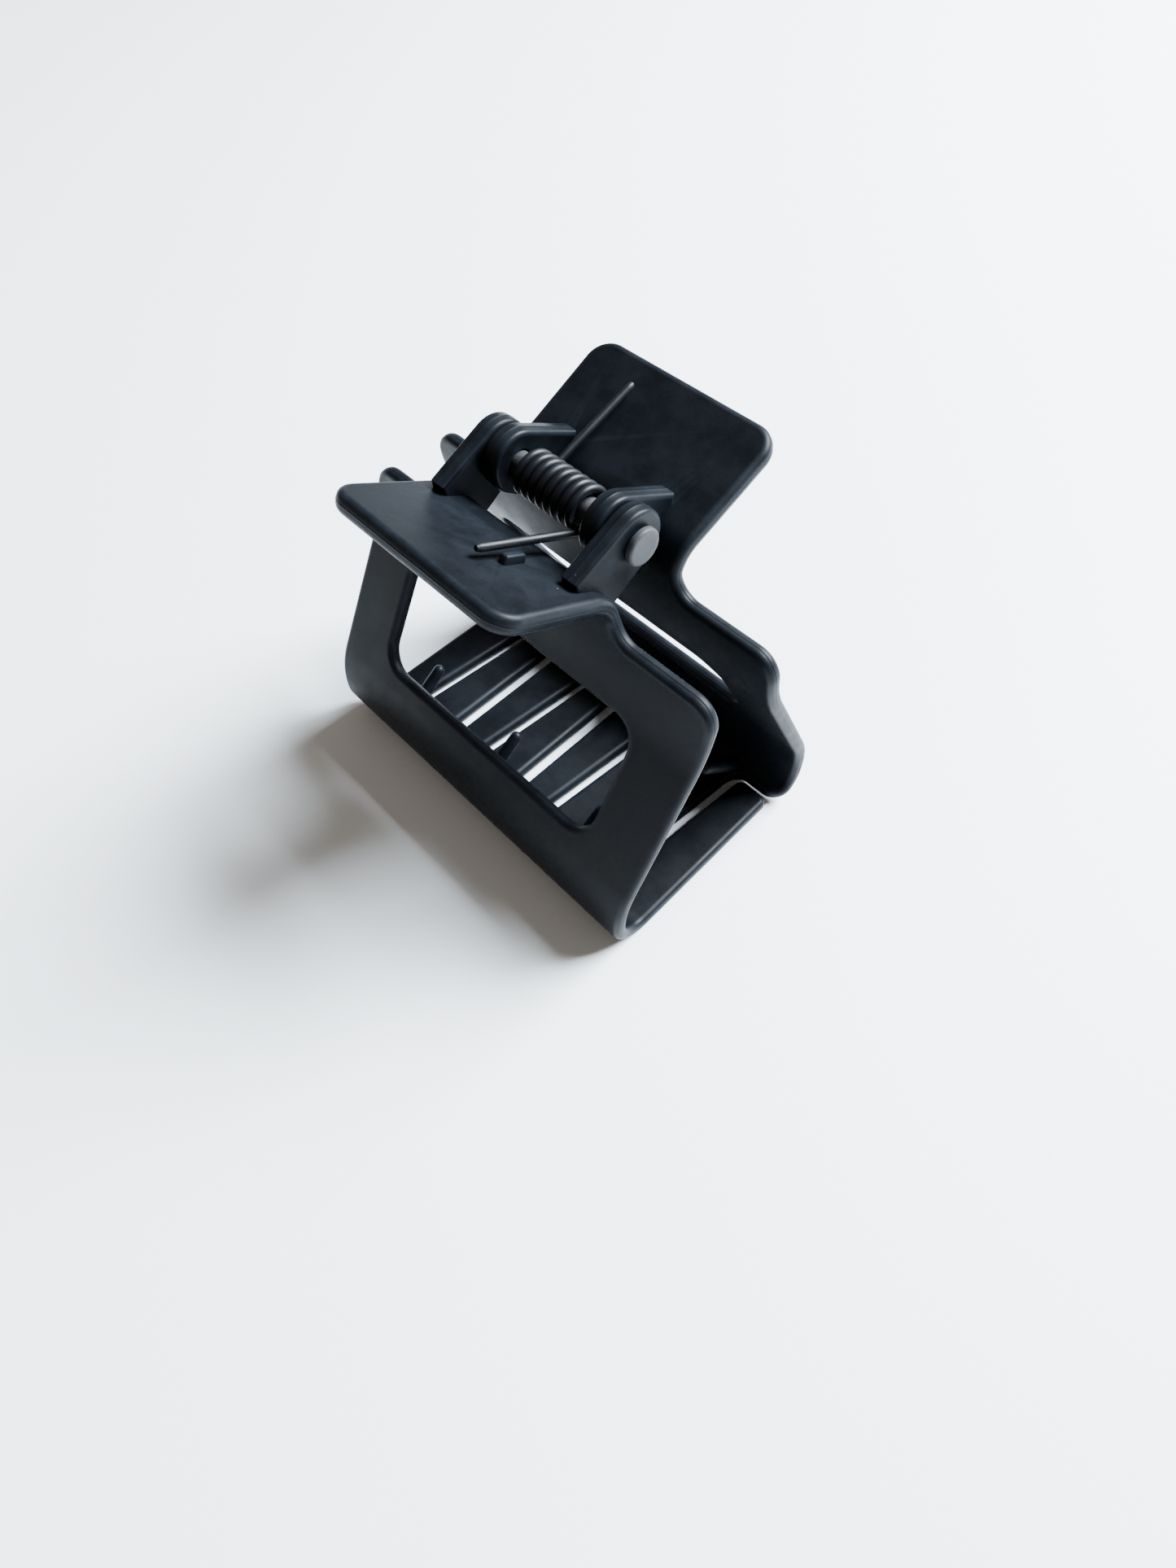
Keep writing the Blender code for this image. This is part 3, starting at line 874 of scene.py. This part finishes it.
def spring_tree():
    floats = ["Wire Radius", "Coil Radius", "Turns", "Coil Length", "Leg Angle"]
    floats += ["Front Leg", "Rear Leg", "Front Lean", "Rear Lean", "Axis Height"]
    inputs = [(name, "NodeSocketFloat", 0.001) for name in floats]
    inputs += [("Points", "NodeSocketInt", 200), ("Finish", "NodeSocketMaterial", None)]
    tree = new_tree("torsion_spring", inputs, [("Geometry", "NodeSocketGeometry")])
    given = tree.nodes.new("NodeGroupInput").outputs

    def calc(operation, *values):
        return calculate(tree, operation, *values)

    full_turns = calc("MULTIPLY", given["Turns"], 2 * math.pi)
    total_angle = calc("ADD", full_turns, calc("MULTIPLY", given["Leg Angle"], 2.0))
    coil = calc("MULTIPLY", total_angle, given["Coil Radius"])
    wire = calc("ADD", calc("ADD", coil, given["Front Leg"]), given["Rear Leg"])
    index = tree.nodes.new("GeometryNodeInputIndex").outputs[0]
    share = calc("DIVIDE", index, calc("SUBTRACT", given["Points"], 1.0))
    place = calc("SUBTRACT", calc("MULTIPLY", share, wire), given["Front Leg"])
    on_coil = calc("MINIMUM", calc("MAXIMUM", place, 0.0), coil)
    beyond = calc("SUBTRACT", place, on_coil)
    start = calc("SUBTRACT", -math.pi / 2, given["Leg Angle"])
    angle = calc("ADD", start, calc("DIVIDE", on_coil, given["Coil Radius"]))
    cosine, sine = calc("COSINE", angle), calc("SINE", angle)
    lean_front = calc("MULTIPLY", calc("MINIMUM", beyond, 0.0), calc("MULTIPLY", given["Front Lean"], -1.0))
    lean_rear = calc("MULTIPLY", calc("MAXIMUM", beyond, 0.0), given["Rear Lean"])
    coil_x = calc("MULTIPLY", given["Coil Length"], calc("SUBTRACT", 0.5, calc("DIVIDE", on_coil, coil)))
    x = calc("ADD", coil_x, calc("ADD", lean_front, lean_rear))
    y = calc("SUBTRACT", calc("MULTIPLY", cosine, given["Coil Radius"]), calc("MULTIPLY", sine, beyond))
    round_z = calc("ADD", calc("MULTIPLY", sine, given["Coil Radius"]), calc("MULTIPLY", cosine, beyond))
    z = calc("ADD", round_z, given["Axis Height"])
    spot = add_node(tree, "ShaderNodeCombineXYZ", {"X": x, "Y": y, "Z": z}).outputs[0]

    line = add_node(tree, "GeometryNodeMeshLine", {"Count": given["Points"]}).outputs[0]
    placed = add_node(tree, "GeometryNodeSetPosition", {"Geometry": line, "Position": spot})
    curve = add_node(tree, "GeometryNodeMeshToCurve", {"Mesh": placed.outputs[0]})
    from_end = calc("MULTIPLY", calc("MINIMUM", share, calc("SUBTRACT", 1.0, share)), wire)
    near_end = calc("MINIMUM", calc("DIVIDE", from_end, given["Wire Radius"]), 1.0)
    blunt = calc("ADD", BLUNT_END, calc("MULTIPLY", near_end, 1.0 - BLUNT_END))
    section = {"Resolution": WIRE_SIDES, "Radius": given["Wire Radius"]}
    circle = add_node(tree, "GeometryNodeCurvePrimitiveCircle", section)
    sweep = add_node(
        tree,
        "GeometryNodeCurveToMesh",
        {"Curve": curve.outputs[0], "Profile Curve": circle.outputs[0], "Scale": blunt, "Fill Caps": True},
    )
    return finish_tree(tree, sweep.outputs[0], given["Finish"])


spring = mesh_from_tree(
    "torsion_spring_wire",
    spring_tree(),
    {
        "Wire Radius": WIRE_RADIUS * MM,
        "Coil Radius": COIL_RADIUS * MM,
        "Turns": float(COIL_TURNS),
        "Coil Length": 2 * COIL_HALF * MM,
        "Leg Angle": LEG_ANGLE,
        "Front Leg": FRONT_LEG_LENGTH * MM,
        "Rear Leg": REAR_LEG_LENGTH * MM,
        "Front Lean": FRONT_LEAN,
        "Rear Lean": REAR_LEAN,
        "Axis Height": hinge.z * MM,
        "Points": WIRE_POINTS,
    },
)
print("spring faces:", len(spring.data.polygons), "wire points:", WIRE_POINTS)

# %% [markdown]
# ## Smooth shading and a map of the rims
#
# Each piece gets a point attribute, rim, that is high on rolled edges and zero on flats and hollows. The finishes
# use it to lay a painted highlight along the rims and to place chips. It is measured from the angle between the
# faces that meet at each point. Sharp creases, such as where a lug stands on the plate, stay sharp.

# %% Shade and measure
CREASE = math.radians(38.0)
FULL_RIM = math.radians(24.0)


def shade_and_map(piece):
    mesh = piece.data
    shape = bmesh.new()
    shape.from_mesh(mesh)
    values = []
    for vertex in shape.verts:
        bulge = sum(max(0.0, edge.calc_face_angle_signed(0.0)) for edge in vertex.link_edges)
        values.append(min(1.0, bulge / FULL_RIM))
    shape.free()
    attribute = mesh.attributes.new("rim", "FLOAT", "POINT")
    attribute.data.foreach_set("value", values)
    mesh.shade_smooth()
    mesh.set_sharp_from_angle(angle=CREASE)
    return sum(value > 0.5 for value in values) / len(values)


pieces = {"front": [front_jaw], "rear": [rear_jaw, pin, spring]}
for piece in [front_jaw, rear_jaw, pin, spring]:
    print(piece.name, "share of points on rims:", round(shade_and_map(piece), 2))

# %% [markdown]
# ## Soft-touch paint
#
# The whole clip was dipped or sprayed after it was put together, so plastic, wire and pin share one dry,
# rubbery black. Close up it has a very fine grain, a broader mottling where the coat is thinner, and here and
# there a white speck where it has chipped. The rims are painted paler, a painted highlight. Grain and the rim
# highlight with its chips are used by every finish, so each is a node group, and each finish sets its own
# colours, gloss and amounts.

# %% Shader groups
PATCH_SCALE = 180.0
RIM_HIGHLIGHT_SCALE = 420.0
CHIP_LIMIT = 0.79
CHIP_RANGE = 0.09
CHIP_EDGE = 0.02


def new_group(name, inputs, outputs):
    group = bpy.data.node_groups.new(name, "ShaderNodeTree")
    for title, default in inputs:
        socket = group.interface.new_socket(title, in_out="INPUT", socket_type="NodeSocketFloat")
        socket.default_value = default
    for title in outputs:
        group.interface.new_socket(title, in_out="OUTPUT", socket_type="NodeSocketFloat")
    return group


def noise(tree, vector, scale, detail, rough=0.5):
    """A noise texture's value, about 0.5 on average."""
    links = {"Vector": vector, "Scale": scale, "Detail": detail, "Roughness": rough}
    return add_node(tree, "ShaderNodeTexNoise", links).outputs[0]


def spread(tree, value, low, high, to_low=0.0, to_high=1.0):
    """A value stretched smoothly from one range to another and held at the ends."""
    links = {"Value": value, "From Min": low, "From Max": high, "To Min": to_low, "To Max": to_high}
    return add_node(tree, "ShaderNodeMapRange", links, interpolation_type="SMOOTHSTEP").outputs[0]


def blended(tree, first, second, share):
    """Two values added up, with the given share of the second."""
    kept = calculate(tree, "MULTIPLY", first, 1.0 - share)
    return calculate(tree, "ADD", kept, calculate(tree, "MULTIPLY", second, share))


def grain_group():
    """Height and tone of the dry paint. Scales are in cycles per metre."""
    group = new_group("paint_grain", [("Grain Scale", 5200.0), ("Mottle Scale", 260.0)], ["Height", "Tone"])
    given = group.nodes.new("NodeGroupInput").outputs
    place = group.nodes.new("ShaderNodeTexCoord").outputs["Object"]
    fine = noise(group, place, given["Grain Scale"], 3.0, 0.62)
    peel = noise(group, place, calculate(group, "MULTIPLY", given["Grain Scale"], 0.28), 2.0)
    mottle = noise(group, place, given["Mottle Scale"], 4.0, 0.6)
    height = blended(group, peel, fine, 0.55)
    tone = blended(group, fine, mottle, 0.7)
    out = group.nodes.new("NodeGroupOutput")
    group.links.new(height, out.inputs["Height"])
    group.links.new(spread(group, tone, 0.3, 0.7), out.inputs["Tone"])
    return group


def highlight_and_chips_group():
    """A painted highlight along the rims and, on them, sparse chips. Chips is from 0, none, to 1."""
    group = new_group("rim_wear", [("Chips", 0.5), ("Chip Scale", 1500.0)], ["Rubbed", "Chipped"])
    given = group.nodes.new("NodeGroupInput").outputs
    place = group.nodes.new("ShaderNodeTexCoord").outputs["Object"]
    rim_map = add_node(group, "ShaderNodeAttribute", attribute_name="rim", attribute_type="GEOMETRY")
    rim = rim_map.outputs["Fac"]
    patch = spread(group, noise(group, place, PATCH_SCALE, 3.0), 0.45, 0.66)
    # The rims get a lighter colour in patches: a painted highlight, not worn paint.
    rim_marks = spread(group, noise(group, place, RIM_HIGHLIGHT_SCALE, 4.0), 0.34, 0.62, 0.35, 1.0)
    rim_highlight = calculate(group, "MULTIPLY", rim, rim_marks)
    limit = calculate(group, "SUBTRACT", CHIP_LIMIT, calculate(group, "MULTIPLY", given["Chips"], CHIP_RANGE))
    speck = noise(group, place, given["Chip Scale"], 3.0, 0.7)
    sure = calculate(group, "ADD", limit, CHIP_EDGE)
    cut_off = {"Value": speck, "From Min": limit, "From Max": sure}
    chip = add_node(group, "ShaderNodeMapRange", cut_off).outputs[0]
    chipped = calculate(group, "MULTIPLY", calculate(group, "MULTIPLY", chip, patch), rim)
    out = group.nodes.new("NodeGroupOutput")
    group.links.new(rim_highlight, out.inputs["Rubbed"])
    group.links.new(chipped, out.inputs["Chipped"])
    return group


grain = grain_group()
highlight_and_chips = highlight_and_chips_group()
print("shader groups:", grain.name, highlight_and_chips.name)

# %% The finishes
BLACK = (0.0013, 0.0019, 0.003, 1.0)
THIN_COAT = (0.0028, 0.004, 0.006, 1.0)
# Paler bluish grey laid along every rolled rim: a painted highlight.
PAINTED_RIM_HIGHLIGHT = (0.016, 0.021, 0.029, 1.0)
CHIP_WHITE = (0.55, 0.56, 0.57, 1.0)
JAW_COLOURS = (BLACK, THIN_COAT, PAINTED_RIM_HIGHLIGHT)
# The pin's third colour is its painted rim highlight.
PIN_COLOURS = ((0.01, 0.011, 0.0125, 1.0), (0.034, 0.036, 0.039, 1.0), (0.05, 0.052, 0.055, 1.0))
GRAIN_DEPTH = 0.04


def mixed(tree, factor, first, second):
    """A colour mixed between two others."""
    node = add_node(tree, "ShaderNodeMix", data_type="RGBA")
    tree.links.new(factor, node.inputs["Factor"])
    for socket, value in ((node.inputs[6], first), (node.inputs[7], second)):
        if isinstance(value, bpy.types.NodeSocket):
            tree.links.new(value, socket)
        else:
            socket.default_value = value
    return node.outputs[2]


def paint(name, roughness, shine, highlight_amount, chips, grain_scale, bump=0.3, colours=JAW_COLOURS):
    """A soft-touch black finish. Roughness is a (smoothest, roughest) pair, and shine its specular level."""
    material = bpy.data.materials.new(name)
    material.use_nodes = True
    tree = material.node_tree
    shader = tree.nodes["Principled BSDF"]
    shader.inputs["Specular IOR Level"].default_value = shine
    coat = add_node(tree, "ShaderNodeGroup", node_tree=grain)
    coat.inputs["Grain Scale"].default_value = grain_scale
    rim_marks = add_node(tree, "ShaderNodeGroup", node_tree=highlight_and_chips)
    rim_marks.inputs["Chips"].default_value = chips
    base = mixed(tree, coat.outputs["Tone"], colours[0], colours[1])
    # Rims are mixed towards the third colour, a painted highlight; the chips then add real white specks.
    rim_highlight = calculate(tree, "MULTIPLY", rim_marks.outputs["Rubbed"], highlight_amount)
    highlighted = mixed(tree, rim_highlight, base, colours[2])
    tree.links.new(mixed(tree, rim_marks.outputs["Chipped"], highlighted, CHIP_WHITE), shader.inputs["Base Color"])
    tree.links.new(spread(tree, coat.outputs["Tone"], 0.0, 1.0, *roughness), shader.inputs["Roughness"])
    height = coat.outputs["Height"]
    relief_links = {"Strength": bump, "Distance": GRAIN_DEPTH * MM, "Height": height}
    relief = add_node(tree, "ShaderNodeBump", relief_links)
    tree.links.new(relief.outputs[0], shader.inputs["Normal"])
    return material


jaw_paint = paint("soft_touch_black", (0.4, 0.5), 0.1, 0.2, 0.5, 5200.0)
wire_paint = paint("painted_spring_wire", (0.38, 0.5), 0.22, 0.08, 0.25, 6500.0)
pin_paint = paint("soft_touch_pin", (0.5, 0.68), 0.3, 0.3, 0.4, 4200.0, bump=0.9, colours=PIN_COLOURS)
for piece, finish in ((front_jaw, jaw_paint), (rear_jaw, jaw_paint), (spring, wire_paint), (pin, pin_paint)):
    piece.data.materials.clear()
    piece.data.materials.append(finish)
    print(piece.name, "gets", finish.name)

# %% [markdown]
# ## Who moves with whom
#
# The rear jaw holds the pin. Each visual piece now replaces its plain mechanical twin and rides on that
# twin's body. The spring really winds up when the handles are squeezed: one leg stays on the rear
# handle, the other turns with the front one, and the coil between them shares out the turn.

# %% Ride and replace
SPRING_REAR_X = -2.5
SPRING_FRONT_X = 2.0

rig.ride(front_jaw, "front")
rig.ride(rear_jaw, "rear")
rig.ride(pin, "rear")
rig.blend(
    spring,
    "rear",
    "front",
    start=(SPRING_REAR_X * MM, 0.0, hinge.z * MM),
    end=(SPRING_FRONT_X * MM, 0.0, hinge.z * MM),
)
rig.replaces(front_jaw, "jaw_front")
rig.replaces(rear_jaw, "jaw_rear")
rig.replaces(pin, "hinge_pin")
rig.replaces(spring, "torsion_spring")
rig.slot(front_jaw, "soft_touch_black_front")
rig.slot(rear_jaw, "soft_touch_black_rear")
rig.slot(pin, "painted_pin")
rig.slot(spring, "painted_wire")
print("pieces on bodies:", len(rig.table()))

# %% [markdown]
# ## Table and light
#
# A pale matt table top and one large soft window light from behind and to the right. The rest of the
# room fills the shadow with a little warm light bounced up from the table.

# %% The studio
FLOOR_SIZE = 1.6
FLOOR_COLOUR = (0.83, 0.87, 0.91, 1.0)
ROOM_COLOUR = (1.0, 0.87, 0.74, 1.0)
ROOM_STRENGTH = 0.3
WINDOW_PLACE = Vector((0.22, 0.62, 0.66))
WINDOW_SIZE = 0.5
WINDOW_POWER = 84.0
WINDOW_COLOUR = (0.87, 0.94, 1.0)
WINDOW_AIM = Vector((0.0, 0.0, 0.02))


def make_floor():
    floor = bmesh.new()
    bmesh.ops.create_grid(floor, x_segments=1, y_segments=1, size=FLOOR_SIZE / 2)
    mesh = bpy.data.meshes.new("table_top")
    floor.to_mesh(mesh)
    floor.free()
    table = bpy.data.objects.new("table_top", mesh)
    bpy.context.scene.collection.objects.link(table)
    material = bpy.data.materials.new("table_white")
    material.use_nodes = True
    shader = material.node_tree.nodes["Principled BSDF"]
    shader.inputs["Base Color"].default_value = FLOOR_COLOUR
    shader.inputs["Roughness"].default_value = 0.6
    mesh.materials.append(material)
    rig.stage(table)
    return table


def area_light(name, place, aim, size, power, colour):
    light = bpy.data.lights.new(name, "AREA")
    light.shape = "SQUARE"
    light.size = size
    light.energy = power
    light.color = colour
    holder = bpy.data.objects.new(name, light)
    holder.location = place
    holder.rotation_euler = (aim - place).to_track_quat("-Z", "Y").to_euler()
    bpy.context.scene.collection.objects.link(holder)
    return holder


make_floor()
area_light("window", WINDOW_PLACE, WINDOW_AIM, WINDOW_SIZE, WINDOW_POWER, WINDOW_COLOUR)
world = bpy.data.worlds.new("room")
world.use_nodes = True
background = world.node_tree.nodes["Background"]
background.inputs["Color"].default_value = ROOM_COLOUR
background.inputs["Strength"].default_value = ROOM_STRENGTH
bpy.context.scene.world = world
print("lights:", [obj.name for obj in bpy.data.objects if obj.type == "LIGHT"])

# %% Sizes and finish
visual_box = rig.bounds()
boxes = {"cad": cad_box, "visual": visual_box}
with open("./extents.json", "w") as out:
    json.dump({name: [list(corner) for corner in box] for name, box in boxes.items()}, out)
print("visual box in mm:", [round(value / MM, 1) for corner in visual_box for value in corner])
